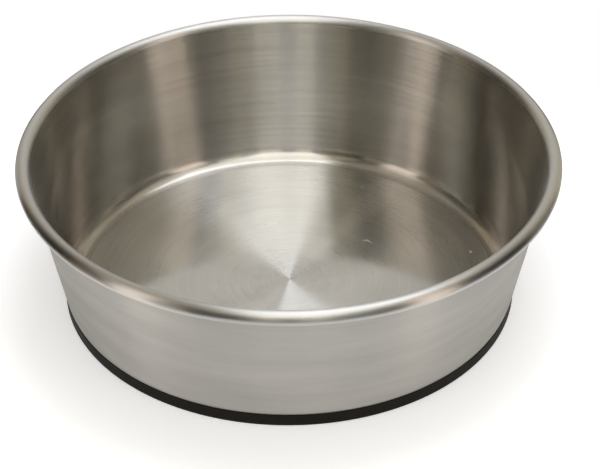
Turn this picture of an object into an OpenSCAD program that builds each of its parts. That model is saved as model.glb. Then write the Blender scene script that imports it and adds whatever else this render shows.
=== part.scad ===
// Stainless feeding bowl with a rolled rim and a bonded rubber base ring.
// Millimetres, +Z up. The origin is on the ground, on the bowl's own axis.
// Every piece is a body of revolution, so each one is drawn as a half section.

/* [Rim] */
// Diameter over the rolled bead
rim_d = 210; // [170:1:280]
// Thickness of the rolled bead
bead_d = 5.7; // [4.5:0.1:8]
// Gap between the end of the curl and the wall
curl_gap = 0.4; // [0.2:0.05:0.8]

/* [Bowl] */
// Height from the ground to the top of the bead
bowl_h = 63.5; // [45:0.5:110]
// Lean of the wall away from upright, in degrees
wall_taper = 11.5; // [5:0.5:20]
// Thickness of the steel sheet
sheet_t = 0.9; // [0.6:0.05:1.3]
// Inside radius between the floor and the wall
corner_r = 7; // [4:0.5:12]

/* [Base ring] */
// Height of the rubber band up the side of the bowl
ring_h = 5.3; // [4.6:0.1:7.6]
// Step from the steel out to the face of the band, at its top edge
ring_proud = 0.3; // [0.2:0.05:1]
// Thickness of the rubber under the floor
pad_t = 0.8; // [0.7:0.1:3]
// Width of the rubber on the underside, in from the face of the band
pad_w = 15; // [10:0.5:30]
// Rounding of the edge next to the ground
ring_round = 1; // [0.4:0.1:1.8]
// Number of grip grooves in the underside
groove_n = 3; // [1:1:4]
// Width of one half-round grip groove
groove_w = 0.8; // [0.6:0.1:1.2]

/* [Bond] */
// Thickness of the adhesive film between the rubber and the steel
bond_t = 0.1; // [0.05:0.05:0.4]
// Height of the lip above the film, where the rubber seals on bare steel
seal_h = 1.2; // [0.6:0.1:2]

/* [Hidden] */
$fn = 180;

// Bead: centre of the curl, radius of the sheet's inner face in it, and the
// angle that the curl leaves open
bead_r = bead_d / 2;
curl_r = bead_r - sheet_t;
curl_at = [rim_d / 2 - bead_r, bowl_h - bead_r];
curl_open = acos((curl_r - curl_gap) / bead_r);

// Floor and corner: the wall runs from the corner at its foot to the bead at
// its head, which fixes its length and the radius of the flat floor. Its faces
// lie a hair inside the corner's circles, so that they cross them cleanly
crossing = 0.005;
floor_bottom = pad_t + bond_t;
floor_top = floor_bottom + sheet_t;
corner_out_r = corner_r + sheet_t;
corner_z = floor_top + corner_r;
wall_in = corner_r - crossing;
wall_out = wall_in + sheet_t;
curl_off = wall_in + bead_r;
wall_len = (curl_at.y - corner_z + curl_off * sin(wall_taper)) / cos(wall_taper);
floor_r = curl_at.x - curl_off * cos(wall_taper) - wall_len * sin(wall_taper);
corner_at = [floor_r, corner_z];
foot_at = corner_at + wall_out * [cos(wall_taper), -sin(wall_taper)];

// Base ring: the face of the band follows the steel at the height of its top
ring_r = steel_r(ring_h) + ring_proud;
pad_in_r = ring_r - pad_w;
pad_flat = pad_w - ring_round;
land_w = (pad_flat - groove_n * groove_w) / (groove_n + 1);

// Film: it follows the corner up to the foot of the sealing lip. Its arc starts a
// few degrees early, inside its flat part, so that the two join cleanly
film_top = ring_h - seal_h;
film_angle = acos((corner_z - film_top) / corner_out_r);
film_lap = 5;

// Outer radius of the steel at a height near the foot
function steel_r(z) = z < foot_at.y
    ? floor_r + sqrt(pow(corner_out_r, 2) - pow(corner_z - z, 2))
    : foot_at.x + (z - foot_at.y) * tan(wall_taper);

// Point on a ray from the origin, at an angle from the outward direction
function ray(reach, angle) = reach * [cos(angle), sin(angle)];

// Sector between two angles less than half a turn apart, wider than a given radius
module sector(radius, from, to) {
    reach = 2 * radius;
    polygon([[0, 0], ray(reach, from), ray(reach, (from + to) / 2), ray(reach, to)]);
}

// Corner's centre as the origin, with the second axis up along the wall
module on_wall() {
    translate(corner_at) rotate(-wall_taper) children();
}

// Half section of the bowl below the bead, filled in from its outer face
module filled_bowl_section() {
    translate([0, floor_bottom]) square([floor_r, corner_z - floor_bottom]);
    translate(corner_at) circle(r = corner_out_r);
    on_wall() square([wall_out, wall_len]);
}

// Half section of the drawn sheet: floor, corner, wall and rolled bead
module shell_section() {
    reach = 2 * corner_out_r;
    difference() {
        filled_bowl_section();
        translate([0, floor_top]) square([floor_r, reach]);
        translate(corner_at) circle(r = corner_r);
        on_wall() translate([-reach, 0]) square([reach + wall_in, wall_len]);
    }
    on_wall() translate([curl_off, wall_len]) difference() {
        circle(r = bead_r);
        circle(r = curl_r);
        sector(bead_r, 180, 180 + curl_open);
    }
}

// Half section of the adhesive film, filled in over the steel behind it
module filled_film_section() {
    translate([pad_in_r, pad_t]) square([floor_r - pad_in_r, bond_t + sheet_t]);
    translate(corner_at) intersection() {
        circle(r = corner_out_r + bond_t);
        sector(corner_out_r, -90 - film_lap, film_angle - 90);
    }
}

// Half section of the adhesive film
module film_section() {
    difference() {
        filled_film_section();
        filled_bowl_section();
    }
}

// Half section of the rubber before the steel, the film and the grooves are cut
module ring_blank_section() {
    translate([pad_in_r, 0]) square([pad_flat, floor_bottom]);
    translate([floor_r, 0]) square([ring_r - ring_round - floor_r, ring_h]);
    translate([floor_r, ring_round]) square([ring_r - floor_r, ring_h - ring_round]);
    translate([ring_r - ring_round, ring_round]) circle(r = ring_round);
}

// Drawn and rolled stainless steel bowl
module bowl_shell() {
    color([0.78, 0.77, 0.75])
        rotate_extrude() shell_section();
}

// Cured adhesive that holds the rubber on the steel
module bond_layer() {
    color([0.62, 0.55, 0.38])
        rotate_extrude() film_section();
}

// Black rubber ring round the foot, with grip grooves on the underside
module base_ring() {
    color([0.09, 0.09, 0.085])
        rotate_extrude() difference() {
            ring_blank_section();
            filled_bowl_section();
            filled_film_section();
            for (i = [0 : groove_n - 1])
                translate([pad_in_r + land_w + groove_w / 2 + i * (groove_w + land_w), 0])
                    circle(d = groove_w);
        }
}

bowl_shell();
bond_layer();
base_ring();
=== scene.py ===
"""Stainless feeding bowl with a bonded rubber base ring, dressed for its photograph.

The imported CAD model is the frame. Its two visible pieces, the drawn steel bowl and
the rubber ring round its foot, are replaced by finer surfaces of revolution on the
same half sections. The adhesive film between them keeps its own mesh.

Half sections are written in millimetres as (distance from the axis, height), and so
are the depths in the finishes. The meshes are made in metres, about the Z axis, with
the ground at zero height.
"""
import logging
import math
from dataclasses import dataclass
from enum import Enum, IntEnum

import bpy
import numpy as np
from mathutils import Matrix, Vector


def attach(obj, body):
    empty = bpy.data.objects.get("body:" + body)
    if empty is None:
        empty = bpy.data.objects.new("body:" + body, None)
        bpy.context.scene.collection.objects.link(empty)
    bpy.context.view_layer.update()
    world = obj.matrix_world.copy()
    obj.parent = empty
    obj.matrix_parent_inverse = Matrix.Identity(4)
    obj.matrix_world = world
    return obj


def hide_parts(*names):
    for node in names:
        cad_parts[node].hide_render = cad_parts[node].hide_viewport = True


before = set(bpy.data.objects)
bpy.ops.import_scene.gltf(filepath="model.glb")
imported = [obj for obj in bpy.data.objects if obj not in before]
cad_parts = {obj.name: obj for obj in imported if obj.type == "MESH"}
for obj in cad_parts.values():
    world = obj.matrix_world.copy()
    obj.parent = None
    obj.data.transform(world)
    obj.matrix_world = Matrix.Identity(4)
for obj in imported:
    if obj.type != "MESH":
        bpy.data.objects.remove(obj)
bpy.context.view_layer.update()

log = logging.getLogger("bowl")

Colour = tuple[float, float, float]
Point = tuple[float, float]

MM = 0.001
DEGREES = 180 / math.pi  # degrees in a radian
BODY = "root"
SEGMENTS = 512  # faces round the axis
CLOSE = 1e-6  # millimetres within which two places of a half section are one
AXIS_GAP = 1e-5  # metres added to the distance from the axis before a division by it
ACROSS = 0.25  # turn of the anisotropy that spreads light across lines round the axis
MIDDLE = 0.5  # share halfway between two colours
MIX_SHARE, MIX_LOW, MIX_HIGH, MIX_RESULT = 0, 6, 7, 2  # a Mix node's sockets for colours
WHITE: Colour = (1.0, 1.0, 1.0)
BLACK: Colour = (0.0, 0.0, 0.0)


# Half sections and surfaces of revolution


class Side(IntEnum):
    """Which side of an arc is the open air: the outside of its circle or the inside."""

    CONVEX = 1
    HOLLOW = -1


@dataclass(frozen=True)
class Arc:
    """Part of a circle in a half section, run from one angle to another in degrees."""

    centre: Point
    radius: float
    start: float
    end: float
    steps: int
    side: Side = Side.CONVEX

    def run(self) -> tuple[np.ndarray, np.ndarray]:
        """Points centre + radius * (cos a, sin a), at evenly spaced angles a.

        Returns:
            The points and the unit normals, (cos a, sin a) times the side's sign.
        """
        angle = np.radians(np.linspace(self.start, self.end, self.steps + 1))
        ray = np.stack([np.cos(angle), np.sin(angle)], 1)
        return np.array(self.centre) + self.radius * ray, int(self.side) * ray


@dataclass(frozen=True)
class Straight:
    """Straight stretch of a half section, with the open air on the left of its run."""

    start: Point
    end: Point
    steps: int = 1

    def run(self) -> tuple[np.ndarray, np.ndarray]:
        """Points start + t * (end - start), at evenly spaced shares t.

        Returns:
            The points and the unit normals, a quarter turn left of the run.
        """
        share = np.linspace(0.0, 1.0, self.steps + 1)
        start, way = np.array(self.start), np.subtract(self.end, self.start)
        normal = np.array([-way[1], way[0]]) / np.hypot(*way)
        points = start + share[:, None] * way
        return points, np.repeat(normal[None], len(points), 0)


@dataclass(frozen=True)
class Stretch:
    """One arc or straight of a half section, and the number of the finish that it wears."""

    shape: Arc | Straight
    finish: int = 0


@dataclass
class Outline:
    """Half section as arrays: its points, and each edge's two ends, normals and finish."""

    points: np.ndarray
    first: np.ndarray
    second: np.ndarray
    first_normal: np.ndarray
    second_normal: np.ndarray
    finish: np.ndarray


def outline(stretches: list[Stretch]) -> Outline:
    """Joins the stretches of a half section end to end.

    Each edge keeps the normals of its own stretch, so an edge between two stretches
    may be sharp. The last edge closes a section that ends where it starts.

    Args:
        stretches: The section, each stretch starting where the one before it ends.

    Returns:
        The section, in metres.
    """
    runs = [stretch.shape.run() for stretch in stretches]
    counts = [len(points) - 1 for points, _ in runs]
    points = [points[:-1] for points, _ in runs]
    last = runs[-1][0][-1:]
    if not np.allclose(last[0], points[0][0], atol=CLOSE):
        points.append(last)
    section = np.concatenate(points) * MM
    edge = np.arange(sum(counts))
    return Outline(
        points=section,
        first=edge,
        second=(edge + 1) % len(section),
        first_normal=np.concatenate([normals[:-1] for _, normals in runs]),
        second_normal=np.concatenate([normals[1:] for _, normals in runs]),
        finish=np.repeat([stretch.finish for stretch in stretches], counts))


def lathe(name: str, stretches: list[Stretch]) -> bpy.types.Mesh:
    """Turns a half section about the Z axis into one closed mesh.

    Point i of the section, (d, z), goes to (d cos u, d sin u, z) for the angles u of
    the grid. A point on the axis becomes one pole, with triangles round it.

    Args:
        name: Name of the mesh.
        stretches: The section, each stretch starting where the one before it ends.

    Returns:
        The mesh, in metres, with smooth shading and a finish number on each face.
    """
    section = outline(stretches)
    on_axis = section.points[:, 0] < CLOSE * MM
    base = np.concatenate([[0], np.cumsum(np.where(on_axis, 1, SEGMENTS))])[:-1]
    turn = 2 * math.pi * np.arange(SEGMENTS) / SEGMENTS
    ray = np.stack([np.cos(turn), np.sin(turn)], 1)
    verts = np.concatenate([
        np.array([[0.0, 0.0, z]]) if pole else np.column_stack([d * ray, np.full(SEGMENTS, z)])
        for (d, z), pole in zip(section.points, on_axis)])
    here = np.arange(SEGMENTS)
    there = (here + 1) % SEGMENTS

    def corner(index: int, normal: np.ndarray, at: np.ndarray) -> tuple[np.ndarray, np.ndarray]:
        """Vertex numbers and turned normals of one point at places round the axis."""
        number = np.full(SEGMENTS, base[index] + (0 if on_axis[index] else at))
        return number, np.column_stack([normal[0] * ray[at], np.full(SEGMENTS, normal[1])])

    numbers, normals, sizes = [], [], []
    for first, second, first_normal, second_normal in zip(
            section.first, section.second, section.first_normal, section.second_normal):
        face = [corner(first, first_normal, here), corner(second, second_normal, here)]
        if not on_axis[second]:
            face.append(corner(second, second_normal, there))
        if not on_axis[first]:
            face.append(corner(first, first_normal, there))
        numbers.append(np.column_stack([number for number, _ in face]).ravel())
        normals.append(np.stack([normal for _, normal in face], 1).reshape(-1, 3))
        sizes.append(np.full(SEGMENTS, len(face)))

    totals = np.concatenate(sizes).astype(np.int32)
    starts = np.concatenate([[0], np.cumsum(totals)[:-1]]).astype(np.int32)
    corners = np.concatenate(numbers).astype(np.int32)
    mesh = bpy.data.meshes.new(name)
    mesh.vertices.add(len(verts))
    mesh.vertices.foreach_set("co", verts.astype(np.float32).ravel())
    mesh.loops.add(len(corners))
    mesh.loops.foreach_set("vertex_index", corners)
    mesh.polygons.add(len(totals))
    mesh.polygons.foreach_set("loop_start", starts)
    mesh.update(calc_edges=True)
    mesh.validate()
    mesh.polygons.foreach_set("use_smooth", np.ones(len(totals), bool))
    mesh.polygons.foreach_set(
        "material_index", np.repeat(section.finish, SEGMENTS).astype(np.int32))
    mesh.normals_split_custom_set(np.concatenate(normals))
    return mesh


# Shader graphs


class Wire:
    """An output socket of a shader graph, with arithmetic that adds Math nodes."""

    def __init__(self, graph: "Graph", socket: bpy.types.NodeSocket | None) -> None:
        """Keeps the graph and the socket."""
        self.graph, self.socket = graph, socket

    def maths(self, operation: str, *others: "Wire | float", clamp: bool = False) -> "Wire":
        """Adds a Math node on this value and the others, held from 0 to 1 by clamp."""
        return self.graph.maths(operation, self, *others, clamp=clamp)

    def __add__(self, other: "Wire | float") -> "Wire":
        """self + other."""
        return self.graph.maths("ADD", self, other)

    def __sub__(self, other: "Wire | float") -> "Wire":
        """self - other."""
        return self.graph.maths("SUBTRACT", self, other)

    def __rsub__(self, other: float) -> "Wire":
        """other - self."""
        return self.graph.maths("SUBTRACT", other, self)

    def __mul__(self, other: "Wire | float") -> "Wire":
        """self * other."""
        return self.graph.maths("MULTIPLY", self, other)

    def __truediv__(self, other: "Wire | float") -> "Wire":
        """self / other."""
        return self.graph.maths("DIVIDE", self, other)

    def __rtruediv__(self, other: float) -> "Wire":
        """other / self."""
        return self.graph.maths("DIVIDE", other, self)

    __radd__, __rmul__ = __add__, __mul__

    def root(self) -> "Wire":
        """Square root."""
        return self.maths("SQRT")

    def step(self, low: float, high: float) -> "Wire":
        """Smooth step from 0 at low to 1 at high, or the reverse where low is above high.

        Args:
            low: Value that gives 0.
            high: Value that gives 1.

        Returns:
            The stepped value.
        """
        falls = low > high
        return self.graph.node(
            "ShaderNodeMapRange", {"interpolation_type": "SMOOTHSTEP"},
            {"Value": self, "From Min": min(low, high), "From Max": max(low, high),
             "To Min": float(falls), "To Max": float(not falls)}, "Result")


class Graph:
    """A material's or world's node tree, filled from Python expressions."""

    def __init__(self, tree: bpy.types.NodeTree) -> None:
        """Empties the tree and keeps it.

        Args:
            tree: The node tree.
        """
        tree.nodes.clear()
        self.tree = tree
        self._place: Wire | None = None

    def node(
        self,
        kind: str,
        settings: dict[str, object] | None = None,
        sockets: dict[str | int, object] | None = None,
        out: str | int = 0,
    ) -> Wire:
        """Adds one node.

        Args:
            kind: The node's type name.
            settings: Its properties, set before the sockets.
            sockets: Values or wires by socket name or number.
            out: Name or number of the output wanted.

        Returns:
            That output as a wire, which holds no socket where the node has no outputs.
        """
        made = self.tree.nodes.new(kind)
        for key, value in (settings or {}).items():
            setattr(made, key, value)
        for key, value in (sockets or {}).items():
            if isinstance(value, Wire):
                self.tree.links.new(value.socket, made.inputs[key])
            elif made.inputs[key].type == "RGBA":
                made.inputs[key].default_value = (*value, 1.0)
            else:
                made.inputs[key].default_value = value
        return Wire(self, made.outputs[out] if made.outputs else None)

    def maths(self, operation: str, *values: Wire | float, clamp: bool = False) -> Wire:
        """Adds a Math node on wires and numbers, held between 0 and 1 by clamp."""
        settings = {"operation": operation, "use_clamp": clamp}
        return self.node("ShaderNodeMath", settings, dict(enumerate(values)))

    def place(self) -> Wire:
        """The Object coordinates, made once.

        Returns:
            The coordinates as a vector.
        """
        if self._place is None:
            self._place = self.node("ShaderNodeTexCoord", out="Object")
        return self._place

    def axes(self) -> tuple[Wire, Wire, Wire]:
        """Splits the Object coordinates.

        Returns:
            x, y and z as wires.
        """
        split = self.node("ShaderNodeSeparateXYZ", sockets={0: self.place()})
        x, y, z = (Wire(self, socket) for socket in split.socket.node.outputs)
        return x, y, z

    def vector(self, *parts: Wire | float) -> Wire:
        """Joins three values into a vector."""
        return self.node("ShaderNodeCombineXYZ", sockets=dict(enumerate(parts)))

    def noise(self, vector: Wire, scale: float, detail: float, rough: float) -> Wire:
        """Noise texture about zero, from about -0.5 to 0.5.

        Args:
            vector: Where the texture is read.
            scale: Its scale.
            detail: Number of finer layers.
            rough: Strength of the finer layers.

        Returns:
            The noise as a value.
        """
        sockets = {"Vector": vector, "Scale": scale, "Detail": detail, "Roughness": rough}
        return self.node("ShaderNodeTexNoise", sockets=sockets, out="Fac") - MIDDLE

    def tint(self, share: Wire | float, low: Colour | Wire, high: Colour | Wire) -> Wire:
        """Mixes two colours, where a share of 0 gives low and one of 1 gives high."""
        sockets = {MIX_SHARE: share, MIX_LOW: low, MIX_HIGH: high}
        return self.node("ShaderNodeMix", {"data_type": "RGBA"}, sockets, MIX_RESULT)

    def surface(self, shader: Wire, kind: str = "ShaderNodeOutputMaterial") -> None:
        """Joins a shader to the tree's output."""
        self.node(kind, sockets={"Surface": shader})


def new_material(name: str) -> tuple[bpy.types.Material, Graph]:
    """Makes an empty node material.

    Args:
        name: Its name.

    Returns:
        The material and its graph.
    """
    made = bpy.data.materials.new(name)
    made.use_nodes = True
    return made, Graph(made.node_tree)


def scaled(colour: Colour, share: float) -> Colour:
    """A colour made paler or darker."""
    return tuple(part * share for part in colour)


# Finishes


@dataclass(frozen=True)
class Cloud:
    """Noise that is alike in every direction, by its scale per metre."""

    scale: float
    detail: float = 3.0
    rough: float = 0.6

    def read(self, graph: Graph) -> Wire:
        """The noise about zero, at the Object coordinates."""
        return graph.noise(graph.place(), self.scale, self.detail, self.rough)


@dataclass(frozen=True)
class Lines:
    """Noise drawn out round the bowl's axis, so that each of its lines is long and thin.

    Its scale around is for a circle of radius 1, and its scale across is per metre.
    """

    around: float
    across: float
    detail: float = 2.0
    rough: float = 0.6

    def read(self, graph: Graph, x: Wire, y: Wire, across: Wire) -> Wire:
        """Reads the noise at (around * x, around * y, across * s).

        Args:
            graph: The material's graph.
            x: First part of the unit way out from the axis.
            y: Second part of that way.
            across: The distance s across the lines.

        Returns:
            The noise about zero.
        """
        vector = graph.vector(x * self.around, y * self.around, across * self.across)
        return graph.noise(vector, 1.0, self.detail, self.rough)


@dataclass(frozen=True)
class ScratchGlint:
    """Scratch in a level face, straight between two places in millimetres, with the light it
    catches painted in as a pale spot: a painted glint.
    """

    start: Point
    end: Point
    half_width: float
    strength: float = 0.8

    def cover(self, x: Wire, y: Wire) -> Wire:
        """Works out how much of a place the mark fills.

        The place of the mark nearest to p lies the share (p - a).(b - a) / |b - a|^2
        of the way from its start a to its end b.

        Args:
            x: The place's first coordinate.
            y: The place's second coordinate.

        Returns:
            The mark's strength on its own line, fading to 0 at its edges.
        """
        run = [(b - a) * MM for a, b in zip(self.start, self.end)]
        aside = (x - self.start[0] * MM, y - self.start[1] * MM)
        along = aside[0] * run[0] + aside[1] * run[1]
        share = along.maths("MULTIPLY", 1 / (run[0] ** 2 + run[1] ** 2), clamp=True)
        off = (aside[0] - share * run[0], aside[1] - share * run[1])
        away = (off[0] * off[0] + off[1] * off[1]).root()
        return away.step(self.half_width * MM, 0.0) * self.strength


class Lay(Enum):
    """The run of the fine lines of a brushed face, round the axis at one height or radius."""

    FLAT = "flat"
    UPRIGHT = "upright"


@dataclass(frozen=True)
class BrushedSteel:
    """Stainless steel with fine lines turned round the bowl's axis.

    The lines spread a reflection across themselves, and a share of the face between
    them, the core, still mirrors. The streaks vary the roughness, and the tones and
    the drift vary the colour, by up to the contrast.
    """

    name: str
    lay: Lay
    colour: Colour = (0.60, 0.59, 0.57)
    contrast: float = 0.14
    roughness: float = 0.30
    anisotropy: float = 0.75
    core: float = 0.3
    core_roughness: float = 0.16
    core_anisotropy: float = 1.0
    fine: Lines = Lines(2.2, 5200.0)
    broad: Lines = Lines(1.1, 700.0, detail=3.0)
    wide: Lines = Lines(2.5, 150.0, rough=0.5)
    cloud: Cloud = Cloud(28.0, rough=0.55)
    streak: float = 0.05
    broad_streak_share: float = 1.6
    cloud_streak: float = 0.05
    fine_tone: float = 0.16
    line_tone: float = 0.3
    drift: float = 0.5
    cloud_tone: float = 0.06
    line_depth: float = 0.004
    scratch_glints: tuple[ScratchGlint, ...] = ()
    # near-white colour of the painted scratch glints
    glint_colour: Colour = (0.95, 0.94, 0.90)

    def material(self) -> bpy.types.Material:
        """Makes the material.

        The lines are noise read at (x/d, y/d, s), with d the distance from the axis
        and s the distance across the lines. The scratch glints are painted highlights: near white,
        dull and not metallic.

        Returns:
            The material.
        """
        made, graph = new_material(self.name)
        x, y, z = graph.axes()
        distance = (x * x + y * y).root() + AXIS_GAP
        place = (x / distance, y / distance, distance if self.lay is Lay.FLAT else z)
        fine, broad, wide = (
            lines.read(graph, *place) for lines in (self.fine, self.broad, self.wide))
        cloud = self.cloud.read(graph)
        vary = (fine * self.streak + broad * (self.streak * self.broad_streak_share)
                + cloud * self.cloud_streak)
        shade = (fine * self.fine_tone + broad * self.line_tone + wide * self.drift
                 + cloud * self.cloud_tone + MIDDLE)
        colour = graph.tint(
            shade, scaled(self.colour, 1 - self.contrast), scaled(self.colour, 1 + self.contrast))
        # painted highlight: the scratches turn pale, dull and not metallic where they catch the
        # light
        glint_share = sum(mark.cover(x, y) for mark in self.scratch_glints)
        if self.scratch_glints:
            colour = graph.tint(glint_share, colour, self.glint_colour)
        bump = graph.node("ShaderNodeBump", sockets={
            "Strength": 1.0, "Distance": self.line_depth * MM, "Height": fine + broad})
        spread = graph.node(
            "ShaderNodeBsdfAnisotropic", {"distribution": "MULTI_GGX"},
            {"Color": colour, "Roughness": vary + self.roughness, "Anisotropy": self.anisotropy,
             "Normal": bump})
        core = graph.node("ShaderNodeBsdfPrincipled", sockets={
            "Base Color": colour, "Metallic": 1.0 - glint_share, "Roughness": vary + self.core_roughness,
            "Anisotropic": self.core_anisotropy, "Anisotropic Rotation": ACROSS, "Normal": bump})
        mirrored = glint_share + self.core
        graph.surface(graph.node("ShaderNodeMixShader", sockets={0: mirrored, 1: spread, 2: core}))
        return made


@dataclass(frozen=True)
class PolishedSteel:
    """Stainless steel buffed smooth, with the faint ripple that the rolling leaves."""

    name: str = "steel_polished_bead"
    colour: Colour = (0.59, 0.585, 0.575)
    roughness: float = 0.35
    vary: float = 0.03
    anisotropy: float = 0.9
    ripple: float = 0.01
    cloud: Cloud = Cloud(60.0, rough=0.5)

    def material(self) -> bpy.types.Material:
        """Makes the material.

        Returns:
            The material.
        """
        made, graph = new_material(self.name)
        cloud = self.cloud.read(graph)
        bump = graph.node("ShaderNodeBump", sockets={
            "Strength": 1.0, "Distance": self.ripple * MM, "Height": cloud})
        graph.surface(graph.node("ShaderNodeBsdfPrincipled", sockets={
            "Base Color": self.colour, "Metallic": 1.0,
            "Roughness": cloud * self.vary + self.roughness,
            "Anisotropic": self.anisotropy, "Anisotropic Rotation": ACROSS, "Normal": bump}))
        return made


@dataclass(frozen=True)
class MouldedRubber:
    """Black rubber straight from its mould, dull, with a fine grain and some dust."""

    name: str = "rubber_black"
    colour: Colour = (0.009, 0.0083, 0.005)
    dust_share: float = 2.0
    dust_from: float = -0.05
    dust_to: float = 0.25
    roughness: float = 0.62
    vary: float = 0.2
    specular: float = 0.15
    grain: Cloud = Cloud(2600.0)
    grain_depth: float = 0.03
    grain_strength: float = 0.6
    cloud: Cloud = Cloud(60.0)

    def material(self) -> bpy.types.Material:
        """Makes the material.

        Returns:
            The material.
        """
        made, graph = new_material(self.name)
        cloud = self.cloud.read(graph)
        bump = graph.node("ShaderNodeBump", sockets={
            "Strength": self.grain_strength, "Distance": self.grain_depth * MM,
            "Height": self.grain.read(graph)})
        dust = cloud.step(self.dust_from, self.dust_to)
        graph.surface(graph.node("ShaderNodeBsdfPrincipled", sockets={
            "Base Color": graph.tint(dust, self.colour, scaled(self.colour, self.dust_share)),
            "Roughness": cloud * self.vary + self.roughness,
            "Specular IOR Level": self.specular, "Normal": bump}))
        return made


@dataclass(frozen=True)
class CuredFilm:
    """Thin cured adhesive, an amber that only a parted joint would show."""

    name: str = "adhesive_amber"
    colour: Colour = (0.45, 0.38, 0.24)
    dark_share: float = 0.8
    roughness: float = 0.45
    vary: float = 0.2
    cloud: Cloud = Cloud(180.0)

    def material(self) -> bpy.types.Material:
        """Makes the material.

        Returns:
            The material.
        """
        made, graph = new_material(self.name)
        cloud = self.cloud.read(graph)
        dark = scaled(self.colour, self.dark_share)
        graph.surface(graph.node("ShaderNodeBsdfPrincipled", sockets={
            "Base Color": graph.tint(cloud + MIDDLE, dark, self.colour),
            "Roughness": cloud * self.vary + self.roughness}))
        return made


# Sub-assemblies


def new_piece(name: str, mesh: bpy.types.Mesh, node: str) -> bpy.types.Object:
    """Puts a mesh in the scene in place of a CAD node.

    Args:
        name: Name of the piece.
        mesh: Its mesh.
        node: The CAD node that it replaces.

    Returns:
        The piece.
    """
    piece = bpy.data.objects.new(name, mesh)
    bpy.context.scene.collection.objects.link(piece)
    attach(piece, BODY)
    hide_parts(node)
    return piece


class Face(IntEnum):
    """Finished faces of the steel bowl, in the order of its materials."""

    FLOOR = 0
    WALL = 1
    BEAD = 2
    OUTSIDE = 3
    UNDERSIDE = 4


# Scratches in the floor, with the light they catch painted in as pale spots
FLOOR_SCRATCH_GLINTS = (
    ScratchGlint((30.3, 25.8), (31.8, 26.4), half_width=0.3),
    ScratchGlint((31.8, 26.4), (33.6, 24.2), half_width=0.3),
    ScratchGlint((73.4, 18.0), (73.8, 17.4), half_width=0.6),
    ScratchGlint((30.6, 65.1), (31.1, 64.7), half_width=0.5),
)

BOWL_FINISHES: dict[Face, BrushedSteel | PolishedSteel] = {
    Face.FLOOR: BrushedSteel(
        "steel_circular_brushed", Lay.FLAT, colour=(0.70, 0.70, 0.69), roughness=0.28,
        anisotropy=0.85, core=0.6, core_roughness=0.11, core_anisotropy=0.7, streak=0.02,
        line_tone=0.8, line_depth=0.0022, scratch_glints=FLOOR_SCRATCH_GLINTS),
    Face.WALL: BrushedSteel(
        "steel_brushed_wall", Lay.UPRIGHT, colour=(0.60, 0.585, 0.555), roughness=0.24,
        anisotropy=0.85, core=0.4, core_roughness=0.12, streak=0.02, line_tone=1.2),
    Face.BEAD: PolishedSteel(),
    # Painted shade: the outside's steel is darker than the inside's, so that its reflection of the
    # white table reads grey
    Face.OUTSIDE: BrushedSteel(
        "steel_satin_outside_painted_shade", Lay.UPRIGHT, colour=(0.44, 0.427, 0.403), roughness=0.30,
        anisotropy=0.6, core=0.0, line_tone=0.5, drift=1.0),
    Face.UNDERSIDE: BrushedSteel("steel_underside", Lay.FLAT),
}


@dataclass
class SteelBowl:
    """Drawn bowl: flat floor, corner, tapered wall and rolled bead in one sheet."""

    rim_d: float = 210.0
    bead_d: float = 5.7
    curl_gap: float = 0.4
    height: float = 63.5
    taper: float = 11.5
    sheet: float = 0.9
    corner: float = 7.0
    floor_bottom: float = 0.9
    floor_steps: int = 24
    corner_steps: int = 16
    wall_steps: int = 12
    bead_steps: int = 44
    edge_steps: int = 8
    curl_steps: int = 24
    foot_steps: int = 12
    underside_steps: int = 16

    def section(self) -> list[Stretch]:
        """The sheet's half section, run from the axis over the inside and back below.

        The wall's frame leans outwards by the taper from the corner's centre, and the
        curl's centre lies corner + bead / 2 out and the wall's length up in it.

        Returns:
            The stretches, with the open air on the left.
        """
        lean = math.radians(self.taper)
        out, up = (math.cos(lean), -math.sin(lean)), (math.sin(lean), math.cos(lean))
        bead_r, edge_r = self.bead_d / 2, self.sheet / 2
        hole_r = bead_r - self.sheet
        outer = self.corner + self.sheet
        reach = self.corner + bead_r
        floor_bottom, floor_top = self.floor_bottom, self.floor_bottom + self.sheet
        centre_z = floor_top + self.corner
        curl_at = (self.rim_d / 2 - bead_r, self.height - bead_r)
        length = (curl_at[1] - centre_z + reach * math.sin(lean)) / math.cos(lean)
        floor_r = curl_at[0] - reach * out[0] - length * up[0]
        centre = (floor_r, centre_z)
        opened = math.degrees(math.acos((hole_r - self.curl_gap) / bead_r))
        first, last = 180 - self.taper, opened - 180 - self.taper
        edge_at = (curl_at[0] + (bead_r - edge_r) * math.cos(math.radians(last)),
                   curl_at[1] + (bead_r - edge_r) * math.sin(math.radians(last)))

        def on_wall(across: float, along: float) -> Point:
            """A point of the wall's own frame."""
            return (centre[0] + across * out[0] + along * up[0],
                    centre[1] + across * out[1] + along * up[1])

        inside = (on_wall(self.corner, 0), on_wall(self.corner, length))
        outside = (on_wall(outer, length), on_wall(outer, 0))
        floor = Straight((0, floor_top), (floor_r, floor_top), self.floor_steps)
        corner = Arc(centre, self.corner, -90, -self.taper, self.corner_steps, Side.HOLLOW)
        curl = Arc(curl_at, hole_r, last, first, self.curl_steps, Side.HOLLOW)
        underside = Straight((floor_r, floor_bottom), (0, floor_bottom), self.underside_steps)
        return [
            Stretch(floor, Face.FLOOR),
            Stretch(corner, Face.WALL),
            Stretch(Straight(*inside, self.wall_steps), Face.WALL),
            Stretch(Arc(curl_at, bead_r, first, last, self.bead_steps), Face.BEAD),
            Stretch(Arc(edge_at, edge_r, last, last - 180, self.edge_steps), Face.BEAD),
            Stretch(curl, Face.OUTSIDE),
            Stretch(Straight(*outside, self.wall_steps), Face.OUTSIDE),
            Stretch(Arc(centre, outer, -self.taper, -90, self.foot_steps), Face.OUTSIDE),
            Stretch(underside, Face.UNDERSIDE),
        ]

    def build(self) -> bpy.types.Object:
        """Turns the section into the bowl."""
        return new_piece("steel_bowl", lathe("steel_bowl", self.section()), "bowl_shell")

    def dress(self, piece: bpy.types.Object) -> None:
        """Gives the piece one material for each face, in their order."""
        for face in Face:
            piece.data.materials.append(BOWL_FINISHES[face].material())


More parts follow.
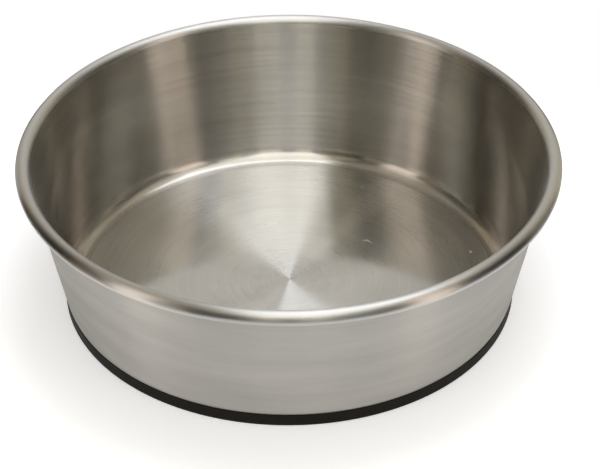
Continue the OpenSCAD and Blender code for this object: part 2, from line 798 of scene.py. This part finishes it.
@dataclass
class RubberRing:
    """Rubber ring round the foot, with grip grooves in its underside.

    The corner and its radius are those of the steel that the ring lies on. Its own
    radii and the corner's place are the CAD's, to within a thousandth of a millimetre.
    """

    outer_r: float = 88.936
    inner_r: float = 73.936
    height: float = 5.3
    pad: float = 0.8
    corner_at: Point = (81.554, 8.8)
    steel_r: float = 7.9
    film: float = 0.1
    film_top: float = 4.1
    foot_round: float = 1.0
    lip_round: float = 0.18
    inner_round: float = 0.4
    mouth_round: float = 0.15
    grooves: int = 3
    groove_r: float = 0.4
    land_steps: int = 2
    mouth_steps: int = 3
    groove_steps: int = 8
    inner_steps: int = 5
    pad_steps: int = 2
    film_steps: int = 8
    seal_steps: int = 3
    lip_steps: int = 5
    band_steps: int = 6
    foot_steps: int = 8
    finish: MouldedRubber = MouldedRubber()

    def grip(self) -> list[Stretch]:
        """Underside of the ring: flat lands with half-round grooves between them.

        A groove's edge is an arc of the mouth's radius, which touches the land and
        the groove's circle, so its centre lies sqrt((g + m)^2 - m^2) from the
        groove's own.

        Returns:
            The stretches from the rounded foot in to the inner edge.
        """
        flat = self.outer_r - self.inner_r - self.foot_round
        land = (flat - self.grooves * 2 * self.groove_r) / (self.grooves + 1)
        mouth, both = self.mouth_round, self.groove_r + self.mouth_round
        aside = math.sqrt(both ** 2 - mouth ** 2)
        tilt = math.degrees(math.asin(mouth / both))
        made, at = [], self.outer_r - self.foot_round
        for number in reversed(range(self.grooves)):
            middle = self.inner_r + land * (number + 1) + self.groove_r * (2 * number + 1)
            made += [
                Stretch(Straight((at, 0), (middle + aside, 0), self.land_steps)),
                Stretch(Arc((middle + aside, mouth), mouth, 270, 180 + tilt, self.mouth_steps)),
                Stretch(Arc((middle, 0), self.groove_r, tilt, 180 - tilt,
                            self.groove_steps, Side.HOLLOW)),
                Stretch(Arc((middle - aside, mouth), mouth, -tilt, -90, self.mouth_steps)),
            ]
            at = middle - aside
        end = (self.inner_r + self.inner_round, 0)
        return made + [Stretch(Straight((at, 0), end, self.land_steps))]

    def section(self) -> list[Stretch]:
        """The ring's half section, run inwards along the ground and back over the top.

        Above the pad it follows the film round the steel's corner, then steps in by
        the film's thickness and lies on the steel up to the lip.

        Returns:
            The stretches, with the open air on the left.
        """
        corner, steel_r, pad = self.corner_at, self.steel_r, self.pad
        film_r = steel_r + self.film

        def turn(height: float) -> float:
            """Angle at which the steel's corner has this height."""
            return math.degrees(math.asin((height - corner[1]) / steel_r))

        def on_corner(radius: float, angle: float) -> Point:
            """Point round the corner's centre."""
            return (corner[0] + radius * math.cos(math.radians(angle)),
                    corner[1] + radius * math.sin(math.radians(angle)))

        step, lip = turn(self.film_top), turn(self.height)
        lip_r, foot_r, inner_r = self.lip_round, self.foot_round, self.inner_round
        inner_at = (self.inner_r + inner_r, inner_r)
        lip_at = (self.outer_r - lip_r, self.height - lip_r)
        foot_at = (self.outer_r - foot_r, foot_r)
        shapes = [
            Arc(inner_at, inner_r, -90, -180, self.inner_steps),
            Straight((self.inner_r, inner_r), (self.inner_r, pad), self.pad_steps),
            Straight((self.inner_r, pad), (corner[0], pad), self.pad_steps),
            Arc(corner, film_r, -90, step, self.film_steps, Side.HOLLOW),
            Straight(on_corner(film_r, step), on_corner(steel_r, step)),
            Arc(corner, steel_r, step, lip, self.seal_steps, Side.HOLLOW),
            Straight(on_corner(steel_r, lip), (lip_at[0], self.height)),
            Arc(lip_at, lip_r, 90, 0, self.lip_steps),
            Straight((self.outer_r, lip_at[1]), (self.outer_r, foot_r), self.band_steps),
            Arc(foot_at, foot_r, 0, -90, self.foot_steps),
        ]
        return self.grip() + [Stretch(shape) for shape in shapes]

    def build(self) -> bpy.types.Object:
        """Turns the section into the ring."""
        return new_piece("rubber_ring", lathe("rubber_ring", self.section()), "base_ring")

    def dress(self, piece: bpy.types.Object) -> None:
        """Gives the piece its rubber."""
        piece.data.materials.append(self.finish.material())


@dataclass
class AdhesiveFilm:
    """Cured film that holds the ring, on its own CAD mesh."""

    node: str = "bond_layer"
    finish: CuredFilm = CuredFilm()

    def build(self) -> bpy.types.Object:
        """Finds the CAD node's object."""
        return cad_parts[self.node]

    def dress(self, piece: bpy.types.Object) -> None:
        """Puts the film's material on the node.

        Args:
            piece: The node's object.
        """
        material = self.finish.material()
        for place in piece.material_slots:
            place.material = material


# Studio


def staged(name: str, mesh: bpy.types.Mesh) -> bpy.types.Object:
    """Puts a mesh in the scene as part of the stage.

    Args:
        name: Name of the object.
        mesh: Its mesh.

    Returns:
        The object.
    """
    made = bpy.data.objects.new(name, mesh)
    bpy.context.scene.collection.objects.link(made)
    return made


@dataclass(frozen=True)
class Camera:
    """The photograph's view: a long lens from in front and above, almost level.

    Its place, target, lens and sensor are in millimetres, its roll is in degrees, and
    the nearest and farthest that it sees are in metres.
    """

    position: tuple[float, float, float] = (0.0, -759.9, 566.9)
    target: tuple[float, float, float] = (4.26, 0.0, 23.62)
    lens: float = 142.13
    sensor: float = 36.0
    roll: float = -0.176
    near: float = 0.05
    far: float = 20.0

    def build(self) -> None:
        """Makes the camera and gives it to the scene.

        Its axes are the way to the target, the level vector to the right of it and
        their cross product, turned about the first by the roll.
        """
        data = bpy.data.cameras.new("camera")
        data.sensor_width, data.lens = self.sensor, self.lens
        data.clip_start, data.clip_end = self.near, self.far
        camera = bpy.data.objects.new("camera", data)
        bpy.context.scene.collection.objects.link(camera)
        place = Vector(self.position) * MM
        ahead = (Vector(self.target) * MM - place).normalized()
        right = ahead.cross(Vector((0, 0, 1))).normalized()
        up = right.cross(ahead)
        turn = math.radians(self.roll)
        right, up = (math.cos(turn) * right + math.sin(turn) * up,
                     -math.sin(turn) * right + math.cos(turn) * up)
        axes = Matrix((right, up, -ahead)).transposed().to_4x4()
        camera.matrix_world = Matrix.Translation(place) @ axes
        bpy.context.scene.camera = camera


@dataclass(frozen=True)
class Table:
    """Round white table under the bowl, which keeps the bowl's shadow.

    Its glow is dimmer close to the bowl, a painted shadow round its foot on top of the real
    one, and its lengths are in metres.
    """

    radius: float = 0.18
    below: float = 0.00002
    colour: Colour = (0.77, 0.79, 0.84)
    painted_shade_glow: float = 0.50
    far_glow: float = 0.72
    rise_from: float = 0.10
    rise_to: float = 0.15
    segments: int = 96

    def build(self) -> None:
        """Makes the table: a disc, matt, with a glow for the eye, the steel and glass.

        The rim's points are radius * (cos u, sin u), a hair below the rubber.
        """
        turn = 2 * math.pi * np.arange(self.segments) / self.segments
        rim = np.stack([self.radius * np.cos(turn), self.radius * np.sin(turn),
                        np.full(self.segments, -self.below)], 1)
        mesh = bpy.data.meshes.new("table")
        mesh.from_pydata(rim.tolist(), [], [tuple(range(self.segments))])
        made, graph = new_material("table_white")
        path = graph.node("ShaderNodeLightPath").socket.node.outputs
        seen = (Wire(graph, path["Is Camera Ray"]) + Wire(graph, path["Is Glossy Ray"])
                + Wire(graph, path["Is Transmission Ray"]))
        matt = graph.node("ShaderNodeBsdfDiffuse", sockets={"Color": self.colour})
        x, y, _ = graph.axes()
        # Painted shadow: the glow falls to a lower level near the bowl, and the steel mirrors it
        # too
        rise = (x * x + y * y).root().step(self.rise_from, self.rise_to)
        level = rise * (self.far_glow - self.painted_shade_glow) + self.painted_shade_glow
        glow = graph.node("ShaderNodeEmission", sockets={"Color": WHITE, "Strength": seen * level})
        graph.surface(graph.node("ShaderNodeAddShader", sockets={0: matt, 1: glow}))
        made.cycles.emission_sampling = "NONE"
        mesh.materials.append(made)
        staged("table", mesh)


@dataclass(frozen=True)
class Panel:
    """Upright panel of the tent: a stretch of azimuth and of elevation, with soft edges.

    Azimuth 0 is in front of the bowl and 90 on its right, in degrees.
    """

    azimuth: float
    half_width: float
    bottom: float
    top: float
    level: Colour
    edge: float = 2.0
    top_edge: float = 5.0

    def cover(self, x: Wire, y: Wire, z: Wire) -> Wire:
        """Works out how much of a direction the panel fills.

        With c the panel's middle way and r the level way to its right, the turn from
        its middle is atan2(p.r, p.c), and the elevation is asin z of the unit way p.

        Args:
            x: First part of the unit direction from the tent's middle.
            y: Its second part.
            z: Its third part, upwards.

        Returns:
            1 inside the panel and 0 outside, soft at its edges.
        """
        angle = math.radians(self.azimuth)
        ahead = x * math.sin(angle) - y * math.cos(angle)
        aside = x * math.cos(angle) + y * math.sin(angle)
        turn = aside.maths("ARCTAN2", ahead).maths("ABSOLUTE") * DEGREES
        high = z.maths("ARCSINE") * DEGREES
        wide = turn.step(self.half_width + self.edge, self.half_width - self.edge)
        above = high.step(self.bottom - self.edge, self.bottom + self.edge)
        below = high.step(self.top + self.top_edge, self.top - self.top_edge)
        return wide * above * below


@dataclass(frozen=True)
class Ceiling:
    """Level panel overhead, given by its sides over its height."""

    left: float
    right: float
    front: float
    back: float
    level: Colour
    edge: float = 0.02
    lowest: float = 0.05

    def cover(self, x: Wire, y: Wire, z: Wire) -> Wire:
        """Works out how much of a direction the panel fills, from x / z and y / z.

        Args:
            x: First part of the unit direction from the tent's middle.
            y: Its second part.
            z: Its third part, upwards, taken as the lowest where it is less.

        Returns:
            1 inside the panel and 0 outside, soft at its edges.
        """
        height, edge = z.maths("MAXIMUM", self.lowest), self.edge
        across, along = x / height, y / height
        left = across.step(self.left - edge, self.left + edge)
        right = across.step(self.right + edge, self.right - edge)
        front = along.step(self.front - edge, self.front + edge)
        back = along.step(self.back + edge, self.back - edge)
        return left * right * front * back


@dataclass(frozen=True)
class Tent:
    """Round light tent: panels of cloth, bright or dark, each laid over those before it.

    Its radius is in metres.
    """

    radius: float = 2.5
    ground: Colour = BLACK
    panels: tuple[Panel | Ceiling, ...] = (
        # Behind the bowl, and its two ends
        Panel(180, 30, 6, 60, (0.67, 0.64, 0.58)),
        Panel(-139, 11, -90, 6, (0.52, 0.55, 0.58)),
        Panel(-139, 11, 6, 46, (0.48, 0.39, 0.26)),
        Panel(138, 12, -90, 46, (0.58, 0.53, 0.40)),
        # Overhead on both sides of the lamp, with brighter and darker lengths
        Panel(90, 90, 46, 100, (0.67, 0.61, 0.49), edge=8.0),
        Panel(-90, 90, 46, 100, (0.41, 0.37, 0.30), edge=8.0),
        Panel(37, 8, 46, 72, (1.45, 1.32, 1.05)),
        Panel(54, 9, 46, 72, BLACK),
        Panel(-30, 14, 46, 72, (0.60, 0.52, 0.36)),
        Panel(-53, 8, 46, 72, (0.11, 0.10, 0.07)),
        Panel(86, 24, 44, 58, (0.60, 0.53, 0.38)),
        Panel(-76, 14, 36, 56, (1.18, 1.00, 0.82)),
        # In front: dim stretches on both sides of two pale stripes
        Panel(-19, 8, 5, 32, BLACK),
        Panel(36, 8, 4, 30, (0.16, 0.13, 0.09)),
        Panel(22, 8, 0, 42, (0.26, 0.27, 0.24)),
        Panel(2, 12, -4, 46, BLACK),
        Panel(9.5, 5.5, -20, 46, (0.63, 0.61, 0.50), edge=1.5),
        Panel(-8, 4, -20, 46, (0.60, 0.56, 0.42), edge=1.5),
        # The two side lights, with dim cloth round them
        Panel(-50, 10, -60, 34, (0.43, 0.39, 0.31)),
        Panel(-62.5, 8.5, -60, 46, (1.42, 1.27, 1.13), edge=1.5),
        Panel(56, 9, -60, 46, (1.43, 1.20, 1.00), edge=1.5),
        Panel(115, 10, -60, 44, (0.24, 0.21, 0.16), edge=1.5),
        Panel(-84, 7, -60, 44, (0.20, 0.155, 0.10), edge=1.5),
        Panel(-115, 6, -60, 44, (0.07, 0.065, 0.055), edge=1.5),
        # The lamp overhead, in five lengths from front to back
        Ceiling(-0.27, 0.34, -1.15, -0.40, (2.38, 2.28, 2.10)),
        Ceiling(-0.20, 0.50, -0.40, 0.1, (1.38, 1.35, 1.20)),
        Ceiling(-0.12, 0.42, 0.1, 0.5, (3.10, 3.15, 3.30)),
        Ceiling(-0.10, 0.30, 0.5, 0.8, (1.35, 1.40, 1.38)),
        Ceiling(-0.10, 0.18, 0.8, 1.2, (1.45, 1.45, 1.50)),
    )
    columns: int = 96
    rows: int = 48

    def build(self) -> None:
        """Makes the tent, a sphere of radius R that the camera looks through.

        A point at azimuth u and elevation v is R (cos v cos u, cos v sin u, sin v).
        """
        u = np.linspace(0, 2 * math.pi, self.columns, endpoint=False)
        v = np.linspace(-math.pi / 2, math.pi / 2, self.rows + 1)[1:-1]
        grid = np.stack([
            np.outer(np.cos(v), np.cos(u)), np.outer(np.cos(v), np.sin(u)),
            np.outer(np.sin(v), np.ones_like(u))], 2).reshape(-1, 3)
        verts = self.radius * np.concatenate([grid, [[0, 0, -1], [0, 0, 1]]])
        here = np.arange(self.columns)
        there = (here + 1) % self.columns
        base = np.arange(self.rows - 2)[:, None] * self.columns
        quads = np.stack([base + here, base + there, base + there + self.columns,
                          base + here + self.columns], 2).reshape(-1, 4)
        south, north, last = len(grid), len(grid) + 1, (self.rows - 2) * self.columns
        bottom = np.column_stack([np.full(self.columns, south), there, here])
        top = np.column_stack([np.full(self.columns, north), last + here, last + there])
        mesh = bpy.data.meshes.new("tent")
        mesh.from_pydata(verts.tolist(), [], quads.tolist() + bottom.tolist() + top.tolist())
        made, graph = new_material("tent_cloth")
        way = [part / self.radius for part in graph.axes()]
        tone: Colour | Wire = self.ground
        for panel in self.panels:
            tone = graph.tint(panel.cover(*way), tone, panel.level)
        graph.surface(graph.node("ShaderNodeEmission", sockets={"Color": tone, "Strength": 1.0}))
        made.cycles.emission_sampling = "NONE"
        mesh.materials.append(made)
        staged("tent", mesh).visible_camera = False


@dataclass(frozen=True)
class Studio:
    """Camera, table, tent and a white world."""

    camera: Camera = Camera()
    table: Table = Table()
    tent: Tent = Tent()

    def build(self) -> None:
        """Makes everything that stands round the bowl."""
        self.camera.build()
        self.table.build()
        self.tent.build()
        scene = bpy.context.scene
        scene.world = bpy.data.worlds.new("studio")
        scene.world.use_nodes = True
        graph = Graph(scene.world.node_tree)
        white = graph.node("ShaderNodeBackground", sockets={"Color": WHITE, "Strength": 1.0})
        graph.surface(white, "ShaderNodeOutputWorld")
        scene.view_settings.view_transform = "Standard"


def main() -> None:
    """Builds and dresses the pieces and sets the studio."""
    logging.basicConfig(level=logging.INFO, format="%(name)s: %(message)s")
    for part in (SteelBowl(), RubberRing(), AdhesiveFilm()):
        piece = part.build()
        part.dress(piece)
        log.info("%s: %d faces, %d materials", piece.name, len(piece.data.polygons),
                 len(piece.material_slots))
    Studio().build()


if __name__ == "__main__":
    main()
